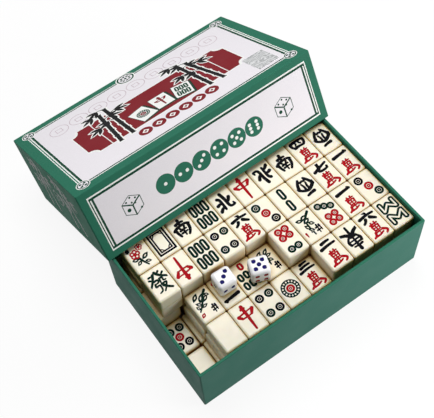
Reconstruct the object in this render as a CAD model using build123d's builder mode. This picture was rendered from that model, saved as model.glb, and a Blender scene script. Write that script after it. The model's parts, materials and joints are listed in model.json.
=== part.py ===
from build123d import *
from math import asin, cos, degrees, radians, sin
import os

# Travel mahjong case: a paper-wrapped board tray full of small tiles, two dice on the tiles, and the
# lid leaning on the tray's end walls behind them.
# Frame: millimetres, origin at the middle of the tray's underside, +X along the tray, +Y towards the
# leaning lid, +Z up.

# ---- driving dimensions -------------------------------------------------------------------------

# lid, outside height and its play round the tray, each side
lid_height = 48.0
lid_play_ends = 0.6
lid_play_sides = 0.65

# box making: greyboard, printed wrap, corner stays
board = 1.5
wrap = 0.15
stay = 0.1
stay_leg = 12.0
corner_round = 0.8
turn_in = 16.0

# lid at rest: turned a little about the vertical, its front skirt lying across the end walls this
# far in front of the tray's back
lid_turn = 1.25
lid_set_in = 7.97
rest_gap = 0.05

# foil seal on the lid's top, its middle measured from the lid's right end and front edge
seal_length = 15.0
seal_width = 20.4
seal_foil = 0.1
seal_round = 1.0
seal_from_end = 21.6
seal_from_front = 21.5

# tiles
tile_width = 15.0
tile_length = 21.7
tile_depth = 10.7
tile_round = 1.4
tile_gap = 0.15
layer_gap = 0.05

# room left in the tray round and above the block of tiles
left_room = 5.35
right_room = 0.3
front_room = 4.65
back_room = 2.5
head_room = 2.35

# dice
die_size = 12.0
die_round = 2.2
pip_pitch = 2.6
pip_radius = 1.05
pip_depth = 0.3

# ---- arrangement --------------------------------------------------------------------------------

# How many tiles lie in each stack, row 1 at the open front, column 1 at the left end.
stacks = {
    1: [1, 3, 3, 3, 3, 3, 4, 4, 4, 4],
    2: [1, 3, 3, 3, 3, 4, 4, 4, 4, 4],
    3: [4, 4, 4, 4, 4, 4, 4, 4, 4, 4],
    4: [4, 4, 4, 4, 4, 4, 4, 4, 4, 4],
}

# Loose tiles by the left wall that slid out of line, lower ones further: row, column and layer of
# each, and its shift along X and Y.
slid = {
    (1, 1, 1): (-3.65, -1.15),
    (2, 1, 1): (-4.55, 0.0),
    (1, 2, 1): (-3.4, 0.0),
    (1, 2, 2): (-1.2, 0.0),
    (2, 2, 1): (-4.2, 0.0),
    (2, 2, 2): (-1.5, 0.0),
    (3, 1, 1): (-4.4, 0.0),
    (3, 1, 2): (-2.8, 0.0),
    (4, 1, 1): (-3.0, 0.0),
    (4, 1, 2): (-1.6, 0.0),
    (4, 1, 3): (-0.6, 0.0),
}

# The row under the leaning lid keeps its top tiles in one block.
covered_row = 4

# Each die lies on the top tile of one stack: row, column, its middle from that tile's middle, turn.
die_a_seat = (2, 3, 0.65, 2.55, -2.8)
die_b_seat = (2, 4, 6.3, -3.35, -20.3)

# How each side of a die is turned from its top, and the pips on it.
sides = {
    "top": (0, 0),
    "bottom": (180, 0),
    "front": (90, 0),
    "back": (-90, 0),
    "right": (0, 90),
    "left": (0, -90),
}
die_a_pips = {"top": "three", "bottom": "four", "front": "two", "back": "five", "right": "six", "left": "one"}
die_b_pips = {"top": "five", "bottom": "two", "front": "four", "back": "three", "right": "one", "left": "six"}
pip_places = {
    "one": [(0, 0)],
    "two": [(-1, 0), (1, 0)],
    "three": [(-1, -1), (0, 0), (1, 1)],
    "four": [(-1, -1), (1, -1), (-1, 1), (1, 1)],
    "five": [(-1, -1), (1, -1), (0, 0), (-1, 1), (1, 1)],
    "six": [(-1, -1), (1, -1), (-1, 0), (1, 0), (-1, 1), (1, 1)],
}

# ---- sizes that follow --------------------------------------------------------------------------

wall = wrap + board + wrap
floor_top = wrap + board
column_pitch = tile_width + tile_gap
row_pitch = tile_length + tile_gap
layer_pitch = tile_depth + layer_gap
columns = len(stacks[1])
layers = max(max(heights) for heights in stacks.values())

# The tray is made to the block of tiles.
tray_length = left_room + columns * column_pitch - tile_gap + right_room + 2 * wall
tray_width = front_room + len(stacks) * row_pitch - tile_gap + back_room + 2 * wall
tray_height = floor_top + layers * layer_pitch + head_room
first_x = -tray_length / 2 + wall + left_room + tile_width / 2
first_y = -tray_width / 2 + wall + front_room + tile_length / 2

lid_length = tray_length + 2 * (lid_play_ends + wall)
lid_width = tray_width + 2 * (lid_play_sides + wall)
# The skirt's inner bottom edge rests on the rims and the back one on the table.
lid_tilt = degrees(asin(tray_height / (lid_width - wall)))
lid_front_y = tray_width / 2 - lid_set_in
lid_front_z = tray_height + rest_gap + wall * sin(radians(lid_tilt))


def lid_plane():
    """The lid at rest: origin at the middle of its top, X along it, Z down into it."""
    turn = radians(lid_turn)
    tilt = radians(lid_tilt)
    skirt = Plane(
        origin=(0, lid_front_y, lid_front_z),
        x_dir=(cos(turn), sin(turn), 0),
        z_dir=(-sin(turn) * sin(tilt), cos(turn) * sin(tilt), cos(tilt)),
    )
    return Plane(skirt.location * Location((0, lid_width / 2, lid_height), (180, 0, 0)))


def tile_place(row, column, layer):
    """Middle of the underside of one tile."""
    shift_x, shift_y = slid.get((row, column, layer), (0.0, 0.0))
    x = first_x + (column - 1) * column_pitch + shift_x
    y = first_y + (row - 1) * row_pitch + shift_y
    return (x, y, floor_top + layer_gap + (layer - 1) * layer_pitch)


# ---- box halves ---------------------------------------------------------------------------------


def corner_strips(length, width, radius):
    """Four L-shaped strips that lap the corners of an outline from inside."""
    RectangleRounded(length, width, radius)
    RectangleRounded(length - 2 * stay, width - 2 * stay, radius - stay, mode=Mode.SUBTRACT)
    Rectangle(length - 2 * stay_leg, width, mode=Mode.SUBTRACT)
    Rectangle(length, width - 2 * stay_leg, mode=Mode.SUBTRACT)


def make_board(plane, length, width, height):
    """Folded greyboard, the closed side at the plane and the open side along its normal."""
    outer_length = length - 2 * wrap
    outer_width = width - 2 * wrap
    with BuildPart() as shell:
        with BuildSketch(plane.offset(wrap)):
            RectangleRounded(outer_length, outer_width, corner_round - wrap)
        extrude(amount=height - 2 * wrap)
        with BuildSketch(plane.offset(wrap + board)):
            Rectangle(outer_length - 2 * board, outer_width - 2 * board)
        extrude(amount=height - 2 * wrap - board, mode=Mode.SUBTRACT)
        with BuildSketch(plane.offset(wrap)):
            corner_strips(outer_length, outer_width, corner_round - wrap)
        extrude(amount=height - 2 * wrap, mode=Mode.SUBTRACT)
    return shell


def make_stays(plane, length, width, height):
    """Paper stays that hold the board's corners shut, pressed into the board under the wrap."""
    with BuildPart() as stays:
        with BuildSketch(plane.offset(wrap)):
            corner_strips(length - 2 * wrap, width - 2 * wrap, corner_round - wrap)
        extrude(amount=height - 2 * wrap)
    return stays


def make_wrap(plane, length, width, height):
    """One printed sheet: closed side, four walls, over the rim and down inside by the turn-in."""
    with BuildPart() as sheet:
        with BuildSketch(plane):
            RectangleRounded(length, width, corner_round)
        extrude(amount=height)
        with BuildSketch(plane.offset(wrap)):
            RectangleRounded(length - 2 * wrap, width - 2 * wrap, corner_round - wrap)
        extrude(amount=height - 2 * wrap, mode=Mode.SUBTRACT)
        with BuildSketch(plane.offset(height - turn_in)):
            Rectangle(length - 2 * (wrap + board), width - 2 * (wrap + board))
        extrude(amount=turn_in - wrap)
        with BuildSketch(plane.offset(height - turn_in)):
            Rectangle(length - 2 * wall, width - 2 * wall)
        extrude(amount=turn_in, mode=Mode.SUBTRACT)
    return sheet


# ---- tiles and dice -----------------------------------------------------------------------------


with BuildPart() as one_tile:
    with BuildSketch():
        Rectangle(tile_width, tile_length)
    extrude(amount=tile_depth)
    fillet(one_tile.edges(), radius=tile_round)


def make_tiles(places):
    """Plain rounded tiles, each standing on its own place."""
    with BuildPart() as tiles:
        with Locations(*places):
            add(one_tile.part)
    return tiles


def make_die(seat, pips):
    """A rounded die with drilled pips, standing on the top tile of its stack."""
    row, column, shift_x, shift_y, turn = seat
    x, y, z = tile_place(row, column, stacks[row][column - 1] + 1)
    base = Plane.XY.offset(z).location * Location((x + shift_x, y + shift_y, 0), (0, 0, turn))
    with BuildPart() as die:
        with BuildSketch(Plane(base)):
            Rectangle(die_size, die_size)
        extrude(amount=die_size)
        fillet(die.edges(), radius=die_round)
        for side, (about_x, about_y) in sides.items():
            middle = base * Location((0, 0, die_size / 2), (about_x, about_y, 0))
            with BuildSketch(Plane(middle).offset(die_size / 2)):
                with Locations(*[(u * pip_pitch, v * pip_pitch) for u, v in pip_places[pips[side]]]):
                    Circle(pip_radius)
            extrude(amount=-pip_depth, mode=Mode.SUBTRACT)
    return die


# ---- pieces -------------------------------------------------------------------------------------

pieces = {}

tray_outside = (Plane.XY, tray_length, tray_width, tray_height)
pieces["tray_board"] = make_board(*tray_outside)
pieces["tray_corner_stays"] = make_stays(*tray_outside)
pieces["tray_wrap"] = make_wrap(*tray_outside)

lid_outside = (lid_plane(), lid_length, lid_width, lid_height)
pieces["lid_board"] = make_board(*lid_outside)
pieces["lid_corner_stays"] = make_stays(*lid_outside)
pieces["lid_wrap"] = make_wrap(*lid_outside)

# The foil seal lies on the outside of the lid's top.
with BuildPart() as seal:
    with BuildSketch(lid_plane()):
        with Locations((lid_length / 2 - seal_from_end, lid_width / 2 - seal_from_front)):
            RectangleRounded(seal_length, seal_width, seal_round)
    extrude(amount=-seal_foil)
pieces["lid_seal"] = seal

# The top tile of every stack in the open rows is a piece by itself.
for row, heights in stacks.items():
    if row == covered_row:
        continue
    for column, height in enumerate(heights, start=1):
        name = f"tile_row{row}_col{column:02d}"
        pieces[name] = make_tiles([tile_place(row, column, height)])


def block(row, first_column, last_column, height):
    """Places of a whole block of stacked tiles in one row."""
    span = range(first_column, last_column + 1)
    return [tile_place(row, column, layer) for layer in range(1, height + 1) for column in span]


def runs(heights):
    """Neighbouring stacks of one height: first column, last column and height."""
    found = []
    for column, height in enumerate(heights, start=1):
        if found and found[-1][2] == height:
            found[-1][1] = column
        else:
            found.append([column, column, height])
    return found


# Below them, and in the covered row, each run of equal stacks is one block of loose tiles.
for row, heights in stacks.items():
    for first_column, last_column, height in runs(heights):
        kept = height if row == covered_row else height - 1
        if kept > 0:
            name = f"tiles_row{row}_from_col{first_column:02d}"
            pieces[name] = make_tiles(block(row, first_column, last_column, kept))

pieces["die_a"] = make_die(die_a_seat, die_a_pips)
pieces["die_b"] = make_die(die_b_seat, die_b_pips)

os.makedirs("parts", exist_ok=True)
for name, piece in pieces.items():
    piece.part.label = name
    export_step(piece.part, f"parts/{name}.step")
    print(name, len(piece.part.solids()), "solid(s)", round(piece.part.volume), "mm3")
print("lid tilt", round(lid_tilt, 2), "degrees; tiles", sum(sum(heights) for heights in stacks.values()))
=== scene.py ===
# %% [markdown]
# # A travel mahjong case
# The real case is a rigid board box in two halves, each wrapped in one sheet of printed paper. The
# tray is full of small resin tiles with engraved and painted faces, two dice lie on them, and the
# deep lid leans on the tray behind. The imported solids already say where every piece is, in metres,
# with +X along the tray, +Y towards the lid and +Z up. So this lesson only dresses them: it folds
# the paper, engraves the tiles, prints the lid and makes the finishes, and it moves nothing.

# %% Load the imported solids
import json
import math
import random

import bmesh
import bpy
from mathutils import Matrix, Vector, geometry

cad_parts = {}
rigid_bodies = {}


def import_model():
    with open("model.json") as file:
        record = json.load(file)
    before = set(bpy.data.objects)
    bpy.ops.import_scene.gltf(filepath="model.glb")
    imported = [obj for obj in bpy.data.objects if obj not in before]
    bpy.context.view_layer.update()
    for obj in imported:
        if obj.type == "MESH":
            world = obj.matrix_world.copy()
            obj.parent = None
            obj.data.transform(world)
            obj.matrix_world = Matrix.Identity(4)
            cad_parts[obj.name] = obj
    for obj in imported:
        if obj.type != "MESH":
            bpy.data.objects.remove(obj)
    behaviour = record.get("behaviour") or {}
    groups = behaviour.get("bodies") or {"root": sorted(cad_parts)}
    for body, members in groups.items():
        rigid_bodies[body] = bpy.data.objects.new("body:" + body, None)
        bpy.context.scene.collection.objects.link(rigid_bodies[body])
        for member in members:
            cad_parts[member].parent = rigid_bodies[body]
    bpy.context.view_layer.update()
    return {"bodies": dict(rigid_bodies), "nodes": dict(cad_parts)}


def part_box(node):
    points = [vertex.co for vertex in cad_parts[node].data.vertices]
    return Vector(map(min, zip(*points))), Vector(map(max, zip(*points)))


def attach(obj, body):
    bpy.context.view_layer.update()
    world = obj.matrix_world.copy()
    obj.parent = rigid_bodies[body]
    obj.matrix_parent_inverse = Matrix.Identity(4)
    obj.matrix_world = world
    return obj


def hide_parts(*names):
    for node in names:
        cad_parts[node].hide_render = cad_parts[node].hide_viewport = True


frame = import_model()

mm = 0.001


def in_mm(size):
    """A size in metres as millimetres, to be read in a print."""
    return [round(v / mm, 1) for v in size]


# %% [markdown]
# ## The camera
# The case is seen from above its front left corner with a long lens, so that the rows of tiles stay
# nearly parallel. The camera is placed by its position, the direction it looks in and a small roll.

# %% Camera


def new_object(name, data):
    """A new object in the scene."""
    made = bpy.data.objects.new(name, data)
    bpy.context.scene.collection.objects.link(made)
    return made


camera_position = Vector((-149.7, -202.5, 507.4)) * mm
camera_azimuth = math.radians(30.54)
camera_elevation = math.radians(59.54)
camera_roll = math.radians(-5.71)
focal_length = 74.6

look = Vector((
    math.sin(camera_azimuth) * math.cos(camera_elevation),
    math.cos(camera_azimuth) * math.cos(camera_elevation),
    -math.sin(camera_elevation),
))
camera = new_object("camera", bpy.data.cameras.new("camera"))
turn = look.to_track_quat("-Z", "Y").to_matrix().to_4x4() @ Matrix.Rotation(camera_roll, 4, "Z")
camera.matrix_world = Matrix.Translation(camera_position) @ turn
camera.data.lens = focal_length
camera.data.clip_start = 0.01
bpy.context.scene.camera = camera
print("camera is", round(camera_position.length / mm), "mm from the middle of the tray's underside")

# %% [markdown]
# ## Light and floor
# A product on a plain table needs large soft lights. One softbox hangs over the case, a little
# behind it, and gives the tile edges their shade. A smaller one stands low in front on the right,
# so the walls that face it are lighter than the ends. An even white sky fills the shadows; it is pure
# white to the camera and in reflections, and weaker as a light.

# %% Nodes
bpy.context.scene.view_settings.view_transform = "Standard"


def add_node(tree, kind, settings=(), inputs=()):
    """Add one node: settings are its properties, inputs are values or other nodes' outputs."""
    node = tree.nodes.new(kind)
    for name, value in dict(settings).items():
        setattr(node, name, value)
    for name, value in dict(inputs).items():
        if isinstance(value, bpy.types.NodeSocket):
            tree.links.new(value, node.inputs[name])
        else:
            node.inputs[name].default_value = value
    return node


def seen_directly(tree):
    """1 where a surface is seen by the camera, in a reflection or through glass, and 0 for light."""
    path = add_node(tree, "ShaderNodeLightPath")
    seen = path.outputs["Is Camera Ray"]
    for ray in ("Is Glossy Ray", "Is Transmission Ray"):
        either = add_node(tree, "ShaderNodeMath", {"operation": "MAXIMUM"}, {0: seen, 1: path.outputs[ray]})
        seen = either.outputs[0]
    return seen


def show(tree, share, lit, seen, output):
    """Join two shaders to the output: one that takes light and, by a share, one that is seen."""
    both = add_node(tree, "ShaderNodeMixShader", {}, {"Fac": share, 1: lit.outputs[0], 2: seen.outputs[0]})
    add_node(tree, output, {}, {"Surface": both.outputs[0]})

# %% Sky and lamps
sky_light = 0.12
over_power = 6.8
front_power = 1.6

world = bpy.data.worlds.new("white_sky")
bpy.context.scene.world = world
world.use_nodes = True
sky = world.node_tree
sky.nodes.clear()
as_light = add_node(sky, "ShaderNodeBackground", {}, {"Color": (1, 1, 1, 1), "Strength": sky_light})
as_seen = add_node(sky, "ShaderNodeBackground", {}, {"Color": (1, 1, 1, 1), "Strength": 1.0})
show(sky, seen_directly(sky), as_light, as_seen, "ShaderNodeOutputWorld")


def add_lamp(name, position, aim, size, power):
    """A square soft lamp that faces a point."""
    lamp = bpy.data.lights.new(name, "AREA")
    lamp.size = size
    lamp.energy = power
    holder = new_object(name, lamp)
    holder.location = position
    holder.rotation_euler = (Vector(aim) - Vector(position)).to_track_quat("-Z", "Y").to_euler()


add_lamp("overhead_softbox", (0.10, 0.28, 0.85), (0, 0.03, 0.03), 0.6, over_power)
add_lamp("front_softbox", (0.30, -0.28, 0.13), (0.04, -0.03, 0.03), 0.25, front_power)
print("two softboxes of", over_power, "and", front_power, "W under a sky of strength", sky_light)

# %% Floor
floor_half = 3.0
table_grey = 0.2
table_glow = 1.8
share_of_glow = 0.5
floor_mesh = bpy.data.meshes.new("table_top")
floor_corners = [(x * floor_half, y * floor_half, 0) for x, y in ((-1, -1), (1, -1), (1, 1), (-1, 1))]
floor_mesh.from_pydata(floor_corners, [], [(0, 1, 2, 3)])
new_object("table_top", floor_mesh)
table = bpy.data.materials.new("white_table")
table.use_nodes = True
table_tree = table.node_tree
table_tree.nodes.clear()
matt = add_node(table_tree, "ShaderNodeBsdfDiffuse", {}, {"Color": (table_grey, table_grey, table_grey, 1)})
glow = add_node(table_tree, "ShaderNodeEmission", {}, {"Color": (1, 1, 1, 1), "Strength": table_glow})
half_seen = add_node(table_tree, "ShaderNodeMath", {"operation": "MULTIPLY"}, {
    0: seen_directly(table_tree),
    1: share_of_glow,
})
show(table_tree, half_seen.outputs[0], matt, glow, "ShaderNodeOutputMaterial")
floor_mesh.materials.append(table)
print("table", 2 * floor_half, "m wide")

# %% [markdown]
# ## Finishes
# Everything here is paper, board or moulded resin, so the finishes differ in small things: fibres
# under a matt film, the denser shine of melamine that lets a little light in at its edges, and
# enamel that dries uneven in an engraving. Patterns are sized in real millimetres on each piece's
# own coordinates, so they move with it.

# %% Material helpers


def rgb(hex_colour):
    """An sRGB hex colour as the linear colour that shaders work in."""
    values = [int(hex_colour[k:k + 2], 16) / 255 for k in (1, 3, 5)]
    return tuple(v / 12.92 if v <= 0.04045 else ((v + 0.055) / 1.055) ** 2.4 for v in values) + (1.0,)


def new_tree(name):
    """An empty node tree in a new material."""
    material = bpy.data.materials.new(name)
    material.use_nodes = True
    material.node_tree.nodes.clear()
    return material, material.node_tree


def patches(tree, grain, detail, low, high):
    """Noise in patches of one size, plain and stretched to run from low to high."""
    place = add_node(tree, "ShaderNodeTexCoord").outputs["Object"]
    noise = add_node(tree, "ShaderNodeTexNoise", {}, {"Vector": place, "Scale": 1 / grain, "Detail": detail})
    stretched = add_node(tree, "ShaderNodeMapRange", {}, {
        "Value": noise.outputs[0],
        "From Min": 0.3,
        "From Max": 0.7,
        "To Min": low,
        "To Max": high,
    })
    return noise.outputs[0], stretched.outputs[0]


def mottled(tree, colour, grain, spread, height=0.0, strength=0.0):
    """Inputs for a colour that varies by a share of itself in patches, and for the patches' relief."""
    noise, value = patches(tree, grain, 4.0, 1 - spread, 1 + spread)
    tint = add_node(tree, "ShaderNodeHueSaturation", {}, {"Color": colour, "Value": value})
    inputs = {"Base Color": tint.outputs[0]}
    if height:
        bump = {"Height": noise, "Distance": height, "Strength": strength}
        inputs["Normal"] = add_node(tree, "ShaderNodeBump", {}, bump).outputs[0]
    return inputs


def uneven(tree, grain, low, high):
    """A number between low and high that drifts in patches of one size."""
    return patches(tree, grain, 3.0, low, high)[1]


def surface(tree, inputs):
    """The shader with its inputs, joined to the output."""
    shader = add_node(tree, "ShaderNodeBsdfPrincipled", {}, inputs)
    add_node(tree, "ShaderNodeOutputMaterial", {}, {"Surface": shader.outputs[0]})


# %% Printed paper


def printed_paper(name, colour):
    """Offset print on art paper under a matt film; its fibres are drawn 0.4 mm apart, so they show."""
    material, tree = new_tree("matt_laminated_" + name)
    surface(tree, mottled(tree, rgb(colour), 0.4 * mm, 0.035, 0.012 * mm, 0.6) | {
        "Roughness": uneven(tree, 14 * mm, 0.60, 0.70),
        "IOR": 1.5,
        "Specular IOR Level": 0.12,
    })
    return material


inks = {
    "paper_green": "#296C56",
    "print_lilac_white": "#EEEAEF",
    "print_white": "#F4F5F2",
    "print_deep_green": "#0D402D",
    "print_dark_red": "#7C2028",
    "print_black": "#08090B",
    "print_grey_white": "#DCE1DE",
    "print_faint_rose": "#CDBFC6",
}
prints = [printed_paper(name, colour) for name, colour in inks.items()]
green, pale, white, deep, dark_red, black, mist, faint = range(len(prints))
# The tray's outside walls get a greyer green: a painted sheen that stands in for the pale surroundings
# reflected in the film.
sheen_greyed_green = printed_paper("paper_green_with_painted_sheen", "#3F7365")
print("printed papers", len(prints) + 1)

# %% Board, stays and foil

# Greyboard is pressed from waste paper, so it is full of darker and paler flecks.
greyboard, tree = new_tree("recycled_greyboard")
flecked = mottled(tree, rgb("#A39C8E"), 0.7 * mm, 0.14, 0.04 * mm, 0.7)
surface(tree, flecked | {"Roughness": 0.88, "IOR": 1.45})

# The corner stays are gummed kraft paper tape, which is brown, soft and cloudy with fibres.
kraft, tree = new_tree("gummed_kraft_tape")
fibrous = mottled(tree, rgb("#B08D5E"), 0.5 * mm, 0.08)
surface(tree, fibrous | {"Roughness": uneven(tree, 6 * mm, 0.6, 0.75), "IOR": 1.45})

# The seal is silver foil: a metal layer embossed with a fine maze of rings, dulled by handling. A
# ring texture of scale 1 has its rings 0.314 apart.
ring_spacing = 0.8 * mm
silver_foil, tree = new_tree("embossed_silver_foil")
place = add_node(tree, "ShaderNodeTexCoord").outputs["Object"]
rings = add_node(tree, "ShaderNodeTexWave", {"wave_type": "RINGS"}, {
    "Vector": place,
    "Scale": 0.314 / ring_spacing,
    "Distortion": 14.0,
    "Detail": 2.0,
    "Detail Scale": 0.5,
})
pressed = add_node(tree, "ShaderNodeMix", {"data_type": "RGBA"}, {
    "Factor": rings.outputs[1],
    "A": rgb("#A9ABAC"),
    "B": rgb("#DDDEDF"),
})
surface(tree, mottled(tree, pressed.outputs[2], 0.5 * mm, 0.05, 0.02 * mm, 0.5) | {
    "Metallic": 1.0,
    "Roughness": uneven(tree, 4 * mm, 0.28, 0.42),
})
print("silver rings every", in_mm([ring_spacing])[0], "mm")

# %% Ivory resin

# Melamine resin tiles: a warm ivory that differs a little from tile to tile, with a polish left
# slightly uneven by tumbling. The ivory is painted brown where a neighbour is close and golden on
# sides that stand deep between stacks: this is painted shade, read from ambient occlusion.
painted_shade_reach = 9 * mm
painted_shade_steps = ((0.1, "#A8692E"), (0.42, "#F6E0A4"), (0.85, "#FFFFFF"))
ivory, tree = new_tree("ivory_melamine_tumbled")
unshaded_ivory = mottled(tree, rgb("#E9E1CC"), 26 * mm, 0.03)["Base Color"]
# Painted shade: the less open the surface is within this reach, the browner the ivory is painted.
openness = add_node(tree, "ShaderNodeAmbientOcclusion", {"samples": 8}, {"Distance": painted_shade_reach})
painted_shade = add_node(tree, "ShaderNodeValToRGB", {}, {"Fac": openness.outputs["AO"]})
ramp = painted_shade.color_ramp.elements
ramp.new(0.5)
for step, (openness_here, tint) in zip(ramp, painted_shade_steps):
    step.position = openness_here
    step.color = rgb(tint)
ivory_with_painted_shade = add_node(tree, "ShaderNodeMix", {"data_type": "RGBA", "blend_type": "MULTIPLY"}, {
    "Factor": 1.0,
    "A": unshaded_ivory,
    "B": painted_shade.outputs[0],
})
surface(tree, {
    "Base Color": ivory_with_painted_shade.outputs[2],
    "Roughness": uneven(tree, 3 * mm, 0.30, 0.44),
    "IOR": 1.55,
    "Subsurface Weight": 0.5,
    "Subsurface Radius": (1.0, 0.75, 0.4),
    "Subsurface Scale": 3.0 * mm,
})

# %% Enamel and acrylic


def enamel(name, paint, roughness=0.6):
    """Air-dried enamel that fills an engraving, thicker and thinner within a millimetre."""
    material, tree = new_tree(name)
    surface(tree, mottled(tree, rgb(paint), 1.2 * mm, 0.12, 0.05 * mm, 0.5) | {
        "Roughness": roughness,
        "IOR": 1.5,
        "Specular IOR Level": 0.05,
    })
    return material


tile_paints = [
    ivory,
    enamel("enamel_blue_black", "#040509"),
    enamel("enamel_red", "#AC0F1A"),
    enamel("enamel_deep_green", "#042118"),
]
ink, red, leaf_green = range(1, 4)

# Cast acrylic dice: opaque white, harder and glossier than the tiles.
acrylic, tree = new_tree("white_cast_acrylic")
surface(tree, mottled(tree, rgb("#F0EFF1"), 5 * mm, 0.01) | {
    "Roughness": uneven(tree, 2 * mm, 0.14, 0.24),
    "IOR": 1.49,
    "Subsurface Weight": 0.6,
    "Subsurface Radius": (1.0, 1.0, 1.0),
    "Subsurface Scale": 3.0 * mm,
})
dice_paints = [
    acrylic,
    enamel("pip_enamel_navy", "#120E62", 0.34),
    enamel("pip_enamel_dark_red", "#9A1822", 0.34),
]
print("materials", len(bpy.data.materials))

# %% [markdown]
# ## Flat shapes
# Tile faces and the lid's print are both flat drawings. A drawing is a list of outlines in
# millimetres, each with its paint, and a later outline covers an earlier one; a paint of 0 is the
# bare material again. Brush strokes are chains of tapered bars with round ends, which is how an
# engraving cutter leaves them: broad where it plunges and thin where it leaves.

# %% Outlines


def around(x, y, radius, turns):
    """The points at one distance from a middle, one for each angle."""
    return [(x + radius * math.cos(a), y + radius * math.sin(a)) for a in turns]


def disc(x, y, radius, paint, sides=24):
    """A round outline."""
    return [(around(x, y, radius, [2 * math.pi * k / sides for k in range(sides)]), paint)]


def box(x0, y0, x1, y1, paint):
    """An upright rectangle."""
    return [([(x0, y0), (x1, y0), (x1, y1), (x0, y1)], paint)]


def frame_line(x0, y0, x1, y1, width, paint, inside):
    """A rectangular line of one width, with what is inside it."""
    return box(x0, y0, x1, y1, paint) + box(x0 + width, y0 + width, x1 - width, y1 - width, inside)


def bar(start, end, first_width, last_width, paint):
    """A straight bar with round ends, which may taper."""
    angle = math.atan2(end[1] - start[1], end[0] - start[0])
    outline = []
    for (x, y), width, first in ((end, last_width, -90), (start, first_width, 90)):
        outline += around(x, y, width / 2, [angle + math.radians(first + 30 * k) for k in range(7)])
    return [(outline, paint)]

# %% Curves, strokes and leaves


def smooth(points, steps=3):
    """A curve through the points, after Catmull and Rom."""
    if len(points) < 3:
        return points
    ends = [points[0]] + list(points) + [points[-1]]
    curve = []
    for k in range(len(points) - 1):
        a, b, c, d = (Vector(p) for p in ends[k:k + 4])
        bend = 2 * a - 5 * b + 4 * c - d
        twist = 3 * b - a - 3 * c + d
        for step in range(steps):
            t = step / steps
            curve.append(tuple(0.5 * (2 * b + (c - a) * t + bend * t ** 2 + twist * t ** 3)))
    return curve + [points[-1]]


def stroke(points, width, paint, tail=0.6):
    """A brush stroke through the points, broad at its start and thin at its tail."""
    curve = smooth(points)
    last = len(curve) - 1
    widths = [width * (1.1 + (tail - 1.1) * k / last) for k in range(last + 1)]
    shapes = []
    for k in range(last):
        shapes += bar(curve[k], curve[k + 1], widths[k], widths[k + 1], paint)
    return shapes


def leaf(start, end, width, paint, steps=6):
    """A leaf: two arcs that meet in a point at each end."""
    start, end = Vector(start), Vector(end)
    across = Vector((start.y - end.y, end.x - start.x)).normalized() * width / 2
    middle = [start.lerp(end, k / steps) for k in range(steps + 1)]
    bulge = [across * math.sin(math.pi * k / steps) for k in range(steps + 1)]
    out = [p - b for p, b in zip(middle, bulge)]
    back = [p + b for p, b in zip(middle, bulge)][-2:0:-1]
    return [([tuple(p) for p in out + back], paint)]


def moved(shapes, x, y, scale=1.0, turn=0.0):
    """Shapes scaled, turned in degrees and moved."""
    c = math.cos(math.radians(turn)) * scale
    s = math.sin(math.radians(turn)) * scale
    placed = []
    for outline, paint in shapes:
        placed.append(([(x + c * px - s * py, y + s * px + c * py) for px, py in outline], paint))
    return placed


# %% Cutting a flat face


def fill_flat(mesh, corners, shapes, place, depth):
    """Fill an outline with triangles; painted areas get their material and are sunk by depth."""
    points = [Vector(p) for p in corners]
    rings = [list(range(len(corners)))]
    for outline, paint in shapes:
        ring = [Vector(p) for p in outline]
        if sum(a.cross(b) for a, b in zip(ring, ring[1:] + ring[:1])) < 0:
            ring.reverse()
        rings.append(list(range(len(points), len(points) + len(ring))))
        points += ring
    flat, edges, triangles, _, _, inside = geometry.delaunay_2d_cdt(points, [], rings, 1, 1e-4)
    made = {}
    owner = {}

    def corner(index, down):
        if (index, down) not in made:
            made[index, down] = mesh.verts.new(place @ Vector((flat[index].x, flat[index].y, -down)))
        return made[index, down]

    for triangle, over in zip(triangles, inside):
        if 0 not in over:
            continue
        paint = shapes[max(over) - 1][1] if max(over) else 0
        face = mesh.faces.new([corner(index, depth if paint else 0.0) for index in triangle])
        face.material_index = paint
        for k in range(3):
            owner[triangle[k], triangle[(k + 1) % 3]] = paint
    if depth:
        for (a, b), paint in owner.items():
            if paint and owner.get((b, a)) == 0:
                wall = mesh.faces.new([corner(a, 0.0), corner(b, 0.0), corner(b, depth), corner(a, depth)])
                wall.material_index = paint


# %% [markdown]
# ## Tile faces
# The set uses the faces every mahjong set has: dots, bamboos, the ten-thousand suit, four winds,
# three dragons and flowers. They are drawn from strokes, discs and leaves, so they are cut into
# the tile as real grooves, as bold as on any travel set with tiles of 15 by 21.7 mm.

# %% Strokes of the dragons and winds
strokes = {}
strokes["red"] = 1.5, [
    [1.9, (0.1, 8.2), (0.2, 2.0), (0.1, -3.0)],
    [1.5, (0.1, -3.0), (0.0, -8.6)],
    [1.2, (-1.2, 6.4), (0.1, 7.6), (1.4, 6.5)],
    [1.0, (-5.2, 3.2), (0.2, 3.9), (5.6, 4.3)],
    [1.9, (-4.9, 3.0), (-3.3, 1.0)],
    [1.9, (5.2, 3.9), (3.3, 1.0)],
    [1.0, (-3.5, 0.8), (0.2, 0.7), (3.6, 0.9)],
]
strokes["green"] = 1.15, [
    [1.6, (0.3, 7.4), (2.4, 4.2), (6.2, 1.4)],
    [1.5, (-1.2, 6.6), (-3.0, 3.2), (-6.2, -0.4)],
    [(-4.2, 6.2), (-1.4, 6.2)],
    [(-4.9, 4.4), (-3.3, 3.4)],
    [(2.9, 7.2), (1.3, 5.8)],
    [(4.9, 5.4), (3.1, 4.1)],
    [(-2.8, 2.2), (-0.6, 2.3), (-0.7, 0.5), (-3.1, 0.3)],
    [(-3.1, 0.3), (-3.4, -1.6), (-1.0, -1.6), (-1.3, -5.2), (-3.4, -6.2)],
    [(0.9, 2.3), (0.5, -0.3)],
    [(0.9, 2.4), (2.7, 2.3), (2.6, 0.3), (4.0, 0.0)],
    [(0.3, -1.5), (3.4, -1.5), (1.8, -4.2), (-0.2, -6.4)],
    [1.6, (0.9, -2.6), (2.6, -4.8), (4.9, -6.6)],
]
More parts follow.
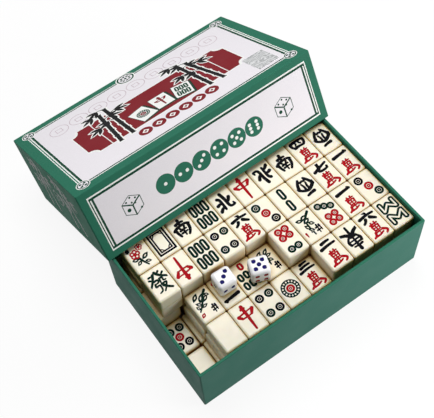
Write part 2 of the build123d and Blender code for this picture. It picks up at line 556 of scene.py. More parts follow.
strokes["east"] = 1.9, [
    [1.3, (-2.7, 5.3), (0.0, 5.6), (2.9, 5.4)],
    [(0.0, 8.2), (0.1, 4.0)],
    [1.4, (0.1, 4.0), (0.0, -1.0)],
    [1.7, (0.0, -1.0), (0.0, -8.0)],
    [1.6, (-3.6, 3.5), (-4.1, 1.6), (-2.6, -0.9)],
    [1.2, (-3.6, 3.6), (3.5, 3.8)],
    [1.6, (3.8, 3.6), (4.2, 1.4), (2.7, -0.9)],
    [1.1, (-3.8, 1.5), (3.8, 1.6)],
    [1.5, (-2.6, -0.9), (2.7, -0.9)],
    [2.2, (-0.6, -1.2), (-2.6, -3.4), (-5.8, -4.9)],
    [2.2, (0.6, -1.2), (2.6, -3.4), (5.9, -4.7)],
]
strokes["south"] = 1.8, [
    [(-2.5, 3.9), (0.0, 4.4), (2.6, 4.1)],
    [(0.2, 6.5), (-0.2, 2.2)],
    [(-5.3, 0.2), (-2.6, 1.6), (2.8, 2.0), (5.5, 0.9)],
    [(-4.5, 0.6), (-4.3, -2.2), (-3.5, -5.2)],
    [(4.8, 1.0), (4.0, -3.2), (1.9, -6.2)],
    [1.3, (-1.7, 0.3), (-1.0, -1.0)],
    [1.3, (1.7, 0.5), (0.9, -0.8)],
    [1.3, (-2.2, -1.6), (2.2, -1.3)],
    [1.3, (-2.1, -3.6), (2.1, -3.3)],
    [1.3, (0.0, -1.3), (0.0, -5.6)],
]
strokes["west"] = 1.8, [
    [1.9, (-2.6, 4.9), (0.0, 5.1), (2.6, 5.7)],
    [2.0, (-6.0, -1.2), (-3.2, 1.2), (0.0, 2.6), (3.2, 1.4), (5.9, -0.9)],
    [1.9, (-5.0, -0.8), (-3.9, -3.6), (-2.2, -6.4)],
    [1.9, (4.9, -0.6), (3.8, -3.6), (1.9, -6.6)],
    [1.6, (-2.8, -5.4), (-1.2, -4.5), (0.0, -5.0)],
    [1.6, (2.5, -5.6), (1.2, -4.5), (0.0, -5.0)],
    [1.5, (-1.3, 2.2), (-1.0, -0.4), (-1.6, -3.0)],
    [1.5, (1.3, 2.2), (1.0, -0.4), (1.6, -3.0)],
]
strokes["north"] = 1.9, [
    [(0.4, 5.9), (1.2, 1.0), (1.4, -4.2), (2.6, -5.7), (4.9, -5.6)],
    [1.4, (5.0, -5.4), (4.7, -3.9)],
    [(4.4, 1.2), (3.0, -0.9), (1.5, -1.8)],
    [(-3.1, 3.4), (-1.9, 1.6), (-1.9, -5.8)],
    [(-5.2, -1.2), (-3.6, -0.6), (-1.9, -0.9)],
    [(-5.6, -6.1), (-3.6, -4.4), (-2.0, -4.0)],
]

# %% Strokes of the numbers
strokes["thousands"] = 1.15, [
    [(-2.6, 4.5), (2.8, 4.8)],
    [1.0, (-1.2, 5.8), (-1.0, 3.6)],
    [1.0, (1.3, 5.9), (1.1, 3.7)],
    [(-2.3, 3.0), (-2.0, -0.3)],
    [1.0, (-2.3, 3.1), (2.5, 3.3)],
    [(2.4, 3.2), (2.1, -0.2)],
    [0.8, (-2.1, 1.4), (2.2, 1.5)],
    [1.0, (-2.0, -0.4), (2.1, -0.3)],
    [0.9, (0.1, 3.2), (0.1, -3.6)],
    [1.5, (-2.9, -1.7), (-3.8, -3.6), (-5.6, -4.6)],
    [1.0, (-3.0, -1.8), (3.0, -1.5)],
    [1.5, (2.9, -1.5), (5.4, -3.6), (3.6, -5.4)],
    [1.2, (-4.0, -4.2), (-1.0, -4.2), (2.2, -3.3)],
]
strokes["one"] = 2.0, [[(-4.7, -0.6), (0.0, -0.1), (4.9, 0.2)], [1.5, (4.0, 0.9), (5.1, 0.2)]]
strokes["two"] = 1.8, [[(-2.4, 2.0), (0.2, 2.4), (2.8, 2.4)], [(-4.7, -1.2), (0.0, -0.6), (5.0, -0.5)]]
strokes["three"] = 1.6, [
    [(-2.0, 2.9), (0.2, 3.3), (2.4, 3.3)],
    [(-3.0, 0.6), (0.0, 1.0), (3.3, 1.0)],
    [(-4.8, -2.0), (0.0, -1.4), (5.0, -1.5)],
]
strokes["four"] = 1.8, [
    [(-4.6, 1.4), (-4.4, -0.6), (-3.2, -2.2)],
    [(-4.4, 1.8), (0.0, 2.3), (4.5, 2.0)],
    [(4.7, 1.6), (4.4, -0.6), (3.2, -2.2)],
    [1.3, (-1.3, 2.0), (-1.2, 0.4), (-1.9, -0.6)],
    [1.3, (1.3, 2.1), (1.3, 0.3), (2.1, -0.3)],
    [(-3.2, -2.2), (0.0, -1.9), (3.2, -2.2)],
]
strokes["six"] = 1.75, [
    [(-0.5, 4.0), (0.6, 2.9)],
    [(-4.9, 0.9), (0.0, 1.6), (5.0, 1.4)],
    [(-1.7, -0.7), (-2.6, -2.0), (-4.2, -3.0)],
    [2.0, (1.6, -0.6), (2.8, -1.6), (4.3, -2.8)],
]
strokes["seven"] = 1.8, [
    [(-4.8, -1.0), (0.0, 0.6), (4.8, 2.0)],
    [(-0.6, 3.6), (-0.9, 0.4), (-1.9, -1.7), (1.0, -2.3), (3.8, -1.9)],
    [1.4, (4.1, -0.8), (4.1, -2.0)],
]

# %% Brushed characters
brush_weight = 1.12
brush_tail = 0.78


def character(name, paint, y=0.0, scale=1.0):
    """A brushed character centred at height y; a stroke may start with a width of its own."""
    bold, lines = strokes[name]
    shapes = []
    for line in lines:
        width, points = (line[0], line[1:]) if isinstance(line[0], float) else (bold, line)
        placed = [(px * scale, y + py * scale) for px, py in points]
        shapes += stroke(placed, width * brush_weight, paint, brush_tail)
    return shapes


print("characters to brush", len(strokes))

# %% Dots and canes


def dot(x, y, radius, paint):
    """A dot of the dot suit: a heavy ring round a fine ring with an open middle."""
    heavy_ring = disc(x, y, radius + 0.05, paint) + disc(x, y, radius - 1.35, 0, 20)
    return heavy_ring + disc(x, y, radius - 1.6, paint, 16) + disc(x, y, 0.3, 0, 8)


def great_wheel():
    """The one of dots: a ring of pale petals round a red dot."""
    petals = 16
    shapes = disc(0, 0, 5.9, leaf_green, 48)
    for k in range(petals):
        shapes += moved(leaf((3.95, 0), (5.25, 0), 1.0, 0), 0, 0, 1.0, 360 * k / petals)
    return shapes + disc(0, 0, 3.2, 0, 32) + dot(0, 0, 2.6, red)


def bars(lines, width, paint):
    """Even bars from one list of their two ends."""
    return [shape for start, end in lines for shape in bar(start, end, width, width, paint)]


def canes(columns, middles, length, paint=leaf_green):
    """Upright canes in columns: each is a heavy outline with round ends round an open slit."""
    reach = length / 2 - 1.8
    shapes = []
    for y in middles:
        for x in columns:
            line = [((x, y - reach), (x, y + reach))]
            shapes += bars(line, 3.85, paint) + bars(line, 0.75, 0)
    return shapes


def eight_bamboos():
    """The eight of bamboos: canes that share one outline stand as a W over others that stand as an M."""
    shapes = []
    for up in (1, -1):
        posts = [((x, 7.0 * up), (x, 1.9 * up)) for x in (-4.4, 4.4)]
        slopes = [((x, 1.9 * up), (0, 5.4 * up)) for x in (-4.0, 4.0)]
        shapes += bars(posts + slopes, 3.7, leaf_green) + bars(posts + slopes, 1.0, 0)
    return shapes

# %% Bamboo and dot faces
side_columns = (-3.1, 3.1)
three_columns = (-4.1, 0.0, 4.1)
bamboos = {
    2: canes((0,), (4.75, -4.75), 8.5),
    4: canes(side_columns, (4.75, -4.75), 8.3),
    6: canes(three_columns, (4.7, -4.7), 8.5),
    7: canes((0,), (7.0,), 5.3, red) + canes(three_columns, (0.6, -5.8), 5.5),
    8: eight_bamboos(),
    9: canes(three_columns, (6.3, -6.3), 5.4) + canes(three_columns, (0,), 5.4, red),
}
square = [(-3.3, 5.4), (3.3, 5.4), (-3.3, -5.4), (3.3, -5.4)]

# For each number of dots their radius and, one by one, their place and paint.
dot_places = {
    2: (3.0, [(0, 4.6, leaf_green), (0, -4.6, ink)]),
    3: (2.85, [(-3.1, 6.0, leaf_green), (0, 0, red), (3.1, -6.0, ink)]),
    4: (2.7, [(x, y, paint) for (x, y), paint in zip(square, (ink, leaf_green, leaf_green, ink))]),
    5: (2.7, [(x, y, leaf_green if y > 0 else ink) for x, y in square] + [(0, 0, red)]),
    6: (2.45, [(x, 6.4, leaf_green) for x in (-2.4, 2.4)]
        + [(x, y, red) for y in (-2.2, -6.9) for x in (-2.4, 2.4)]),
    7: (2.35, [(-3.4, 6.8, leaf_green), (0.1, 5.0, leaf_green), (3.5, 3.2, leaf_green)]
        + [(x, y, red) for y in (-2.2, -6.7) for x in (-2.3, 2.3)]),
    8: (2.1, [(x, y, ink) for y in (6.9, 2.3, -2.3, -6.9) for x in (-2.4, 2.4)]),
}
print("bamboo faces", len(bamboos), "dot faces", len(dot_places))

# %% White dragon and flower parts


def white_dragon():
    """The white dragon: a double line round a panel with cut corners."""
    shapes = frame_line(-5.9, -8.8, 5.9, 8.8, 1.3, ink, 0)
    shapes += frame_line(-4.15, -7.05, 4.15, 7.05, 1.05, ink, 0)
    corner = [(4.1, 7.0), (0.6, 7.0), (2.0, 5.0), (4.1, 3.0)]
    spot = [(3.1, 6.0), (2.1, 6.0), (3.1, 4.9)]
    for x in (-1, 1):
        for y in (-1, 1):
            for outline, paint in ((corner, ink), (spot, 0)):
                shapes.append(([(x * px, y * py) for px, py in outline], paint))
    return shapes


def outlined_leaf(start, end, width, paint):
    """A leaf cut as an outline with an open middle."""
    a, b = Vector(start), Vector(end)
    return leaf(start, end, width, paint) + leaf(a.lerp(b, 0.34), a.lerp(b, 0.70), width * 0.26, 0)


def blossom(x, y, radius):
    """Five round petals in outline round an open middle."""
    fifth_of_a_turn = 1.257
    turns = [fifth_of_a_turn * k for k in range(5)]
    shapes = []
    for share, paint, sides in ((0.5, red, 12), (0.2, 0, 8)):
        for petal in around(x, y, 0.55 * radius, turns):
            shapes += disc(*petal, radius * share, paint, sides)
    return shapes + disc(x, y, radius * 0.2, red, 8)


def small_mark(x, y, size):
    """A small brushed sign: two level strokes crossed by two upright ones."""
    level = ((-0.5, 0.35), (0.5, 0.4)), ((-0.5, -0.3), (0.5, -0.25))
    upright = ((-0.1, 0.9), (-0.2, -0.9)), ((0.35, 0.7), (0.4, -0.6))
    shapes = []
    for points in level + upright:
        shapes += stroke([(px * size, py * size) for px, py in points], 1.15, ink)
    return moved(shapes, x, y)


def plant(stem, leaves):
    """A curved stem and a few outlined leaves, each given by its two ends and width."""
    shapes = stroke(stem, 1.6, leaf_green)
    for x0, y0, x1, y1, width in leaves:
        shapes += outlined_leaf((x0, y0), (x1, y1), width, leaf_green)
    return shapes

# %% Flower faces
flowers = {
    1: plant([(-4.8, 6.0), (-1.0, 5.4), (1.2, 2.4), (0.6, -2.6)], [
        (-4.4, 4.6, 0.2, 8.2, 2.6), (-0.2, 4.0, 4.4, 7.8, 2.6), (0.4, 3.2, 5.0, 3.6, 2.4),
        (-4.2, 2.4, 0.4, 4.4, 2.3), (0.8, 1.6, 3.8, -1.2, 2.3), (0.6, -1.2, -3.2, 1.0, 2.2),
    ]) + small_mark(3.6, -5.4, 2.8) + stroke([(-3.0, -3.0), (-4.4, -6.0)], 1.2, red),
    2: plant([(4.6, 7.6), (1.4, 4.6), (-1.2, 0.6), (-4.8, -3.0)], [
        (-5.0, 4.2, -0.4, 8.4, 2.9), (-2.2, 1.6, 2.0, 6.6, 3.0), (0.0, 1.2, 4.4, 4.6, 2.6),
        (2.6, 5.6, 5.6, 3.4, 2.1), (-4.6, 3.0, -1.4, -0.4, 2.3), (-3.0, -1.4, 1.6, -0.6, 2.2),
        (-5.4, 1.2, -3.8, -2.2, 1.9),
    ]) + small_mark(3.5, -5.4, 2.9) + moved(outlined_leaf((-1.5, -1.2), (1.2, 1.4), 2.3, red), -4.5, -6.0),
    3: plant([(4.8, 8.2), (1.4, 5.2), (-0.4, 1.2), (-0.2, -7.0)], [
        (-5.5, 6.4, -1.0, 4.4, 2.6), (-2.4, 5.0, 3.0, 6.8, 3.2), (-2.0, 2.2, 3.0, 4.4, 3.2),
        (0.4, 1.8, 3.8, -0.8, 2.6), (-2.6, 1.4, -0.4, -2.8, 2.5), (-2.0, -2.2, 1.4, -4.4, 2.2),
        (-1.8, -5.0, 0.8, -3.6, 1.9),
    ]) + small_mark(3.7, -4.8, 3.1) + stroke([(-4.9, -3.6), (-4.8, -6.2)], 1.2, red),
    4: plant([(-3.0, -7.4), (-1.0, -2.0), (1.4, 2.4)], [
        (-2.6, -3.0, -5.4, 1.2, 2.6), (-0.6, -0.6, 3.8, -3.0, 2.6), (0.4, 1.4, -3.6, 4.6, 2.7),
    ]) + blossom(1.8, 5.2, 3.1) + small_mark(3.6, -6.0, 2.4),
    5: plant([(-1.6, 0.6), (-0.4, -4.0), (1.6, -8.2)], [
        (-1.0, -2.2, -5.8, -1.2, 2.8), (-0.6, -3.4, -4.2, -5.8, 2.4), (0.0, -3.4, 5.2, -0.8, 3.0),
        (0.8, -5.0, 4.4, -7.0, 2.2),
    ]) + blossom(-1.9, 1.8, 3.2) + blossom(2.4, 5.0, 2.3) + small_mark(-4.7, 5.8, 1.6),
    6: plant([(3.6, -7.2), (0.6, -3.0), (-1.4, 3.0)], [
        (1.2, -3.6, 5.4, -0.8, 2.6), (0.0, -1.4, -4.4, -3.2, 2.6), (-1.0, 2.0, 3.4, 4.8, 2.7),
    ]) + blossom(-2.4, 5.4, 2.9) + small_mark(-3.8, -6.2, 2.4),
}
print("flower faces", len(flowers))

# %% The faces by name
faces = {"blank": [], "white": white_dragon(), "wheel": great_wheel()}
faces["red"] = character("red", red, 0.0, 0.95)
faces["green"] = character("green", leaf_green, 0.0, 0.97)
for wind, scale in (("east", 1.0), ("south", 0.93), ("west", 0.98), ("north", 0.93)):
    faces[wind] = character(wind, ink, 0.0, scale)
heights = {"one": 6.1, "two": 5.5, "three": 5.5, "four": 6.0, "six": 5.5, "seven": 5.4}
for numeral, height in heights.items():
    faces[f"{numeral} thousand"] = character(numeral, ink, height) + character("thousands", red, -4.1, 0.9)
for count, (radius, places) in dot_places.items():
    faces[f"{count} dots"] = [shape for x, y, paint in places for shape in dot(x, y, radius, paint)]
faces.update({f"{count} bamboos": shapes for count, shapes in bamboos.items()})
faces.update({f"flower {kind}": shapes for kind, shapes in flowers.items()})
print("tile faces", len(faces), "outlines", sum(len(shapes) for shapes in faces.values()))

# %% [markdown]
# ## Tiles
# Moulded tiles have all edges rounded, here by 1.4 mm. Each block is a box with every edge bevelled
# in four steps; its top flat is taken out and filled again with the engraved face. The places of
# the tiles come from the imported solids, so the looks can't drift from the physics.

# %% Rounded blocks


def engrave(mesh, flat, place, shapes, depth):
    """Replace a flat by a drawing; place takes the drawing's millimetres to the flat."""
    back = place.inverted()
    corners = [(back @ vertex.co).to_2d() for vertex in flat.verts]
    bmesh.ops.delete(mesh, geom=[flat], context="FACES_ONLY")
    fill_flat(mesh, corners, shapes, place, depth)


def add_block(mesh, centre, size, radius, carved, depth, turn=Matrix.Identity(4), segments=4):
    """Add a rounded block in metres; carved maps a side's two turns to its flat shapes in mm."""
    block = bmesh.new()
    bmesh.ops.create_cube(block, size=1.0)
    bmesh.ops.scale(block, vec=size, verts=block.verts)
    edges = block.edges[:]
    bmesh.ops.bevel(block, geom=edges, offset=radius, segments=segments, profile=0.5, affect="EDGES")
    flats = sorted(block.faces, key=lambda face: -face.calc_area())[:6]
    for face in block.faces:
        face.smooth = face not in flats
    for (about_x, about_y), shapes in carved.items():
        side = Matrix.Rotation(math.radians(about_x), 4, "X")
        side @= Matrix.Rotation(math.radians(about_y), 4, "Y")
        normal = side.to_3x3() @ Vector((0, 0, 1))
        flat = next(face for face in flats if face.is_valid and face.normal.dot(normal) > 0.9)
        out = max(vertex.co.dot(normal) for vertex in flat.verts)
        flats.remove(flat)
        engrave(block, flat, side @ Matrix.Translation((0, 0, out)) @ Matrix.Scale(mm, 4), shapes, depth)
    bmesh.ops.remove_doubles(block, verts=block.verts, dist=1e-6)
    block.transform(Matrix.Translation(centre) @ turn)
    part = bpy.data.meshes.new("part")
    block.to_mesh(part)
    block.free()
    mesh.from_mesh(part)
    bpy.data.meshes.remove(part)

# %% Pieces and packed boxes


def new_piece(name, mesh, materials, node, body):
    """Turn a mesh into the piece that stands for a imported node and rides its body."""
    data = bpy.data.meshes.new(name)
    mesh.to_mesh(data)
    mesh.free()
    for material in materials:
        data.materials.append(material)
    piece = new_object(name, data)
    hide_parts(node)
    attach(piece, body)
    return piece


def solids_of(node):
    """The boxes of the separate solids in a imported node, as (lowest, highest) corners."""
    whole = bmesh.new()
    whole.from_mesh(frame["nodes"][node].data)
    bmesh.ops.remove_doubles(whole, verts=whole.verts, dist=2e-6)
    boxes, seen = [], set()
    for first in whole.verts:
        if first in seen:
            continue
        seen.add(first)
        queue, low, high = [first], first.co.copy(), first.co.copy()
        while queue:
            vertex = queue.pop()
            low = Vector(map(min, low, vertex.co))
            high = Vector(map(max, high, vertex.co))
            for edge in vertex.link_edges:
                other = edge.other_vert(vertex)
                if other not in seen:
                    seen.add(other)
                    queue.append(other)
        boxes.append((low, high))
    whole.free()
    return boxes


# %% Tiles
groove = 0.28
tile_edge = 1.4 * mm
tile_pitch = 15.15 * mm
covered_row = 4
top_side = (0, 0)

# The face on top of each stack, front row first; a star turns it upside down.
layout = {
    1: ["blank", "blank", "red", "4 dots", "wheel",
        "three thousand", "two thousand", "east*", "six thousand", "8 bamboos"],
    2: ["5 dots", "flower 2", "one thousand*", "7 bamboos", "flower 1",
        "6 dots*", "flower 3", "7 dots", "one thousand", "3 dots*"],
    3: ["green", "red*", "6 bamboos", "4 dots", "six thousand",
        "3 dots", "2 bamboos", "west*", "seven thousand", "one thousand"],
    4: ["flower 5", "white", "south", "6 bamboos", "north",
        "red", "north*", "south", "four thousand", "west*"],
}


def face_shapes(label):
    """The drawing of a face, turned over if its label ends in a star."""
    shapes = faces[label.rstrip("*")]
    return moved(shapes, 0, 0, 1.0, 180) if label.endswith("*") else shapes


def label_of(low, high, node, boxes):
    """The face of a tile: its own in the layout, none below another tile, or any on a hidden top."""
    row = int(node.split("row")[1][0])
    lowest = [corner for corner, _ in boxes]
    if node.startswith("tile_"):
        return layout[row][int(node[-2:]) - 1]
    if any(abs(b.x - low.x) < tile_pitch / 2 and b.z > high.z - mm for b in lowest):
        return None
    if row == covered_row:
        first_x = min(b.x for b in lowest if b.z > low.z - mm)
        return layout[row][round((low.x - first_x) / tile_pitch)]
    return rng.choice(hidden_faces)


rng = random.Random(144)
hidden_faces = sorted(set(faces) - {"blank"})
tile_count = 0
for node in sorted(name for name in frame["nodes"] if name.startswith("tile")):
    boxes = solids_of(node)
    mesh = bmesh.new()
    for low, high in boxes:
        label = label_of(low, high, node, boxes)
        carved = {top_side: face_shapes(label)} if label else {}
        add_block(mesh, (low + high) / 2, high - low, tile_edge, carved, groove)
    tile_count += len(boxes)
    body = node if node in frame["bodies"] else "tray"
    new_piece(node.replace("_row", "_resin_row"), mesh, tile_paints, node, body)
print("tiles", tile_count)

# %% [markdown]
# ## Dice
# The dice are made from the same rounded block with softer edges. Pips are drilled a little way
# into the flats and filled with enamel; opposite faces add up to seven.

# %% Dice
die_size = 12 * mm
die_edge = 2.2 * mm
pip_pitch = 2.6
pip_radius = 1.4
pip_depth = 0.3
four_corners = [(-1, -1), (1, -1), (-1, 1), (1, 1)]
pip_places = {
    1: [(0, 0)],
    2: [(-1, 0), (1, 0)],
    3: [(-1, -1), (0, 0), (1, 1)],
    4: four_corners,
    5: four_corners + [(0, 0)],
    6: [(x, y) for x in (-1, 1) for y in (-1, 0, 1)],
}

# How each side of a die is turned from its top, in degrees about x and about y: top and bottom,
# front and back, right and left.
die_sides = ((0, 0), (180, 0), (90, 0), (-90, 0), (0, 90), (0, -90))


def pips(count, paint, x=0.0, y=0.0, pitch=pip_pitch, radius=pip_radius, sides=20):
    """The pips of one die face, about its middle."""
    spots = [(x + px * pitch, y + py * pitch) for px, py in pip_places[count]]
    return [shape for spot in spots for shape in disc(*spot, radius, paint, sides)]


def die(node, turn, numbers, reds=()):
    """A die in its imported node's place, by the numbers on its top, front and right; reds are in red."""
    low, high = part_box(node)
    pairs = [n for number in numbers for n in (number, 7 - number)]
    carved = {side: pips(n, 2 if n in reds else 1) for side, n in zip(die_sides, pairs)}
    mesh = bmesh.new()
    spin = Matrix.Rotation(math.radians(turn), 4, "Z")
    add_block(mesh, (low + high) / 2, Vector([die_size] * 3), die_edge, carved, pip_depth, spin, 6)
    new_piece(node.replace("die", "acrylic_die"), mesh, dice_paints, node, node)


die("die_a", -2.8, (3, 2, 6))
die("die_b", -20.3, (5, 4, 1), (4, 3))
print("dice of", in_mm([die_size])[0], "mm")

# %% [markdown]
# ## Wrapping paper
# A rigid box is greyboard with one printed sheet glued round it: up the walls, over the rim and
# 16 mm down inside. The sheet rounds every edge softly, which is what catches the light as a thin
# pale line. Each wrap is a surface lofted through rings: its closed side, its walls, its rim and
# the turned-in strip.

# %% Folds of the paper
fold = 0.45 * mm
wall = 1.8 * mm
turn_in = 16 * mm
paper = 0.15 * mm
corner_round = 0.8 * mm
corner_steps = 5


def ring_points(half_x, half_y, radius, height):
    """A rounded rectangle at one height, anticlockwise from the end of its right side."""
    points = []
    for k, (side_x, side_y) in enumerate(((1, 1), (-1, 1), (-1, -1), (1, -1))):
        turns = [math.radians(90 * k + 90 * step / corner_steps) for step in range(corner_steps + 1)]
        points += around(side_x * (half_x - radius), side_y * (half_y - radius), radius, turns)
    return [Vector((x, y, height)) for x, y in points]


def plane(origin, across, up):
    """The place of a drawing whose origin and two directions are given in millimetres."""
    across, up = Vector(across), Vector(up)
    turn = Matrix((across, up, across.cross(up))).transposed().to_4x4()
    return Matrix.Scale(mm, 4) @ Matrix.Translation(origin) @ turn

# %% Paper shell


def paper_shell(length, width, height, flip, printed):
    """A wrap about the middle of its base; flip closes it at the top instead. It is lofted along a
    profile of three folds and the turn-in, and printed has a place and shapes for each printed flat."""
    profile = []
    for inset, z, first in ((fold, fold, 270), (fold, height - fold, 180), (wall - fold, height - fold, 90)):
        profile += around(inset, z, fold, [math.radians(first - 30 * k) for k in range(4)])
    profile += [(wall, height - turn_in), (wall - paper, height - turn_in)]
    flat_bands = (3, 7, 11, 12)
    mesh = bmesh.new()
    rings = []
    for inset, z in profile:
        radius = max(corner_round - inset, 0.2 * mm)
        points = ring_points(length / 2 - inset, width / 2 - inset, radius, z)
        rings.append([mesh.verts.new(point) for point in points])
    count = len(rings[0])
    mesh.faces.new(list(reversed(rings[0])))
    for k, (first, second) in enumerate(zip(rings, rings[1:])):
        for i in range(count):
            j = (i + 1) % count
            face = mesh.faces.new([first[i], first[j], second[j], second[i]])
            along_a_side = i % (corner_steps + 1) == corner_steps
            face.smooth = not (k in flat_bands and along_a_side)
    if flip:
        mesh.transform(Matrix.Translation((0, 0, height)) @ Matrix.Rotation(math.pi, 4, "X"))
    mesh.normal_update()
    for place, shapes in printed:
        normal = place.to_3x3().col[2].normalized()
        facing = [face for face in mesh.faces if face.normal.dot(normal) > 0.99]
        flat = max(facing, key=lambda face: face.calc_area())
        engrave(mesh, flat, place, shapes, 0.0)
    bmesh.ops.remove_doubles(mesh, verts=mesh.verts, dist=1e-6)
    return mesh

# %% Tray wrap
tray_low, tray_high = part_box("tray_wrap")
tray_size = tray_high - tray_low
mesh = paper_shell(tray_size.x, tray_size.y, tray_size.z, False, [])
# Outside walls take the greyer green of the painted sheen; the rim, base and inside take the plain green.
for face in mesh.faces:
    outside = abs(face.normal.z) < 0.5 and face.normal.dot(face.calc_center_median().xy.to_3d()) > 0
    face.material_index = 1 if outside else 0
new_piece("tray_printed_paper", mesh, [prints[green], sheen_greyed_green], "tray_wrap", "tray")
print("tray wrap in mm", in_mm(tray_size))

# %% [markdown]
# ## The lid's print
# The lid carries a lilac-white panel on its top and on its long sides, bordered by fine lines. The
# drawings are plain ornaments: a notched dark red cartouche, brushed black bamboo, three tiles, red
# discs, faint coins, green discs that count from one to six, and a pair of dice. Ink has no
# thickness, so each area of ink is its own set of faces in the flat.

# %% Frames and medallions


def lozenge(x, y, half, paint):
    """A square that stands on a corner."""
    return [([(x - half, y), (x, y - half), (x + half, y), (x, y + half)], paint)]


def cartouche(x0, y0, x1, y1, notch, paint):
    """A rectangle with quarter-round notches at its corners."""
    outline = []
    for cx, cy, first in ((x1, y0, 180), (x1, y1, 270), (x0, y1, 0), (x0, y0, 90)):
        outline += around(cx, cy, notch, [math.radians(first - 15 * k) for k in range(7)])
    return [(outline, paint)]


def coin(x, y, radius, line, paint, inside):
    """An old coin in outline: a ring round a square hole."""
    shapes = disc(x, y, radius, paint, 32) + disc(x, y, radius - line, inside, 32)
    half = radius * 0.36
    return shapes + frame_line(x - half, y - half, x + half, y + half, line, paint, inside)


def roundel(x, y, radius, petals=4):
    """A corner ornament: a white ring, a deep green ring and a petalled flower."""
    shapes = []
    for share, paint in ((1.0, white), (0.88, deep), (0.72, pale)):
        shapes += disc(x, y, radius * share, paint, 36)
    turns = [math.pi / 4 + k * 2 * math.pi / petals for k in range(petals)]
    for spot in around(x, y, radius * 0.44, turns):
        shapes += disc(*spot, radius * 0.62 / petals ** 0.75, deep, 10)
    return shapes + disc(x, y, radius * 0.16, deep, 10)

# %% Bamboo, tiles and dice as drawings


def cane_drawing(x, y, length, lean, paint, grow=0.0):
    """A brushed bamboo cane: five joints with knots, and leaves in threes that hang from twigs."""
    shapes = []
    step = length / 5
    width = 2.6 + 2 * grow
    for k in range(5):
        low = Vector((x + lean * k * step, y + k * step))
        high = Vector((x + lean * (k + 1) * step, y + (k + 1) * step - 0.7))
        ends = ((low, -1, -1), (low, 1, -1), (high, 1, 1), (high, -1, 1))
        shapes.append(([(p.x + side * width / 2, p.y + up * grow) for p, side, up in ends], paint))
        half = width * 0.62
        for knot in (low, high):
            shapes += box(knot.x - half, knot.y - 0.4 - grow, knot.x + half, knot.y + 0.4 + grow, paint)
        if k < 2:
            continue
        side = 1 if k % 2 else -1
        twig = high + Vector((side * 4.2, 1.6))
        shapes += bar(high, twig, 0.9 + 2 * grow, 0.7 + 2 * grow, paint)
        for angle, reach in ((8, 8.0), (-28, 10.0), (-62, 8.6)):
            a = math.radians(angle)
            tip = twig + (reach + 1.6 * grow) * Vector((side * math.cos(a), math.sin(a)))
            shapes += leaf(twig, tip, 2.5 + 2 * grow, paint)
    return shapes


def tile_drawing(x, y, turn, label):
    """A tile drawn flat: a white face with its marks and a deep green side."""
    marks = [(outline, (white, black, dark_red, deep)[paint]) for outline, paint in faces[label]]
    side = box(-7.1, -10.6, 8.4, 9.4, black) + box(-6.9, -10.3, 8.0, 9.2, deep)
    face = box(-7.5, -9.2, 7.1, 10.4, black) + box(-7.0, -8.8, 6.7, 10.0, white)
    return moved(side + face + moved(marks, 0, 0.6, 0.86), x, y, 0.86, turn)


def die_drawing(x, y, size):
    """A die in outline, seen on a corner, with pips on three faces."""
    a, b = size * 0.5, size * 0.866 * 0.5
    top = [(0, 0), (b, a * 0.5), (0, a), (-b, a * 0.5)]
    left = [(0, 0), (-b, a * 0.5), (-b, -a * 0.5), (0, -a)]
    right = [(0, 0), (0, -a), (b, -a * 0.5), (b, a * 0.5)]
    shapes = []
    for outline in (top, left, right):
        middle = sum((Vector(p) for p in outline), Vector((0, 0))) / 4
        shapes.append(([(x + px, y + py) for px, py in outline], deep))
        inner = [tuple(Vector((x, y)) + middle + (Vector(p) - middle) * 0.86) for p in outline]
        shapes.append((inner, pale))
    for px, py in ((0, 0.75), (0, 0.25), (-0.42, 0.5), (0.42, 0.5)):
        shapes += disc(x + px * size * 0.5, y + py * size * 0.5, size * 0.045, deep, 10)
    shapes += disc(x - b * 0.5, y - a * 0.25, size * 0.085, deep, 12)
    for px, py in ((0.3, 0.15), (0.7, -0.55)):
        shapes += disc(x + b * px, y + a * py - a * 0.05, size * 0.05, deep, 10)
    return shapes


# %% Print on the lid's top
lid_length = 165.4
lid_width = 102.9
lid_height = 48.0
middle_x = lid_length / 2


def borders(x0, y0, x1, y1, lines):
    """Nested rectangles: each line is its width on the short ends, on the long sides, and its ink."""
    shapes = []
    for wide, narrow, paint in lines:
        shapes += box(x0, y0, x1, y1, paint)
        x0, y0, x1, y1 = x0 + wide, y0 + narrow, x1 - wide, y1 - narrow
    return shapes


top_print = borders(6.9, 6.6, 158.5, 96.9, [
    (0.6, 0.0, white),
    (0.7, 0.0, green),
    (0.8, 0.8, white),
    (1.5, 1.1, deep),
    (0.0, 0.0, pale),
])
coin_pitch = 14.4
for k in range(9):
    top_print += coin(25 + coin_pitch * k, 80.5, 6.6, 0.55, faint, pale)
top_print += cartouche(25.2, 29.2, 140.3, 66.8, 5.0, white) + cartouche(26, 30, 139.5, 66, 5.6, dark_red)
top_print += box(40, 30, 40.6, 66, white) + box(124.9, 30, 125.5, 66, white)
top_canes = ((45, 27, 44, 0.10), (54, 28, 47, 0.02), (111, 28, 47, -0.02), (120, 27, 44, -0.10))
for paint, grow in ((white, 0.8), (black, 0.0)):
    for x, y, length, lean in top_canes:
        top_print += cane_drawing(x, y, length, lean, paint, grow)
for x, y, turn, label in ((68, 41, 14, "wheel"), (97, 41, -14, "6 bamboos"), (82.5, 43, 0, "red")):
    top_print += tile_drawing(x, y, turn, label)
small_disc_pitch = 9.6
for k in range(6):
    x, y = 59 + small_disc_pitch * k, 21.5
    top_print += disc(x, y, 4.5, dark_red) + lozenge(x, y, 2.4, white) + lozenge(x, y, 1.1, dark_red)
for x, y in ((8.8, 96.2), (156.6, 96.2), (156.6, 7.3), (8.8, 7.3)):
    top_print += roundel(x, y, 4.4)
top_print += roundel(middle_x, 96.0, 6.9, 8)
print("areas of ink on top", len(top_print))

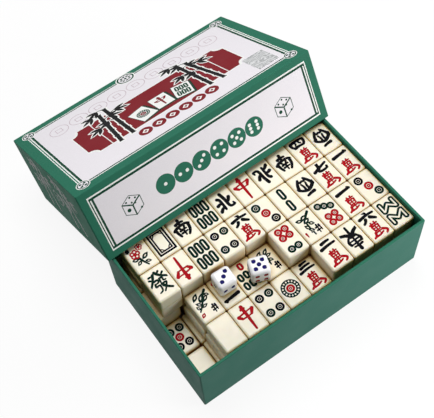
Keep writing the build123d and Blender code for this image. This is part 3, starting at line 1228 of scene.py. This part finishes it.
# %% Print on the lid's sides
front_print = borders(5.2, 4.6, 160.2, 43.4, [
    (0.7, 1.0, white),
    (0.7, 1.5, deep),
    (0.8, 0.0, white),
    (1.3, 0.0, deep),
    (0.0, 0.0, pale),
])
disc_pitch = 12.9
middle_y = 23.6
for count in range(1, 7):
    x = middle_x + disc_pitch * (count - 3.5)
    front_print += disc(x, middle_y, 6.4, green, 36) + pips(count, white, x, middle_y, 2.5, 1.15, 14)
for x in (27.5, lid_length - 27.5):
    front_print += die_drawing(x, middle_y, 14.5)

end_print = []
for x, length, lean in ((24, 32, 0.12), (37, 34, -0.04), (65, 34, 0.04), (78, 32, -0.12)):
    end_print += cane_drawing(x, 7, length, lean, mist)
end_print += coin(51, 24, 6.0, 1.0, mist, green)
print("areas of ink in front", len(front_print), "on an end", len(end_print))

# %% Lid

# The front skirt lies on the tray's end walls and the back skirt's edge on the table, so the tray's
# height and the lid's width give the tilt. lid_edge is the middle of the front skirt's lower edge, and
# the lid's own axes are u, v and w.
tray_height = 47.0
lid_tilt = math.asin(tray_height / (lid_width - wall / mm))
lid_turn = math.radians(1.25)
lid_edge = Vector((0, 41.03, 47.887))
lid_u = Vector((math.cos(lid_turn), math.sin(lid_turn), 0))
level_v = Vector((-math.sin(lid_turn), math.cos(lid_turn), 0))
lid_w = level_v * math.sin(lid_tilt) + Vector((0, 0, math.cos(lid_tilt)))
lid_v = lid_w.cross(lid_u)
lid_place = Matrix((lid_u, lid_v, lid_w)).transposed().to_4x4()
lid_place = Matrix.Translation((lid_edge + lid_v * lid_width / 2) * mm) @ lid_place

half_length = lid_length / 2
half_width = lid_width / 2
printed_flats = [
    (plane((-half_length, -half_width, lid_height), (1, 0, 0), (0, 1, 0)), top_print),
    (plane((-half_length, -half_width, 0), (1, 0, 0), (0, 0, 1)), front_print),
    (plane((half_length, half_width, 0), (-1, 0, 0), (0, 0, 1)), front_print),
    (plane((-half_length, half_width, 0), (0, -1, 0), (0, 0, 1)), end_print),
    (plane((half_length, -half_width, 0), (0, 1, 0), (0, 0, 1)), end_print),
]
mesh = paper_shell(lid_length * mm, lid_width * mm, lid_height * mm, True, printed_flats)
mesh.transform(lid_place)
lid_paper = new_piece("lid_printed_paper", mesh, prints, "lid_wrap", "lid")
packed_low, packed_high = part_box("lid_wrap")
made = [lid_paper.matrix_world @ vertex.co for vertex in lid_paper.data.vertices]
gaps = [min(p[k] for p in made) - packed_low[k] for k in range(3)]
gaps += [packed_high[k] - max(p[k] for p in made) for k in range(3)]
print("lid wrap lies within", round(max(map(abs, gaps)) / mm, 3), "mm of its packed box")

# %% Board, stays and seal
finishes = {
    "tray_board": greyboard,
    "lid_board": greyboard,
    "tray_corner_stays": kraft,
    "lid_corner_stays": kraft,
    "lid_seal": silver_foil,
}
for node, material in finishes.items():
    data = frame["nodes"][node].data
    data.materials.clear()
    data.materials.append(material)
print("packed solids that are shown themselves", len(finishes))
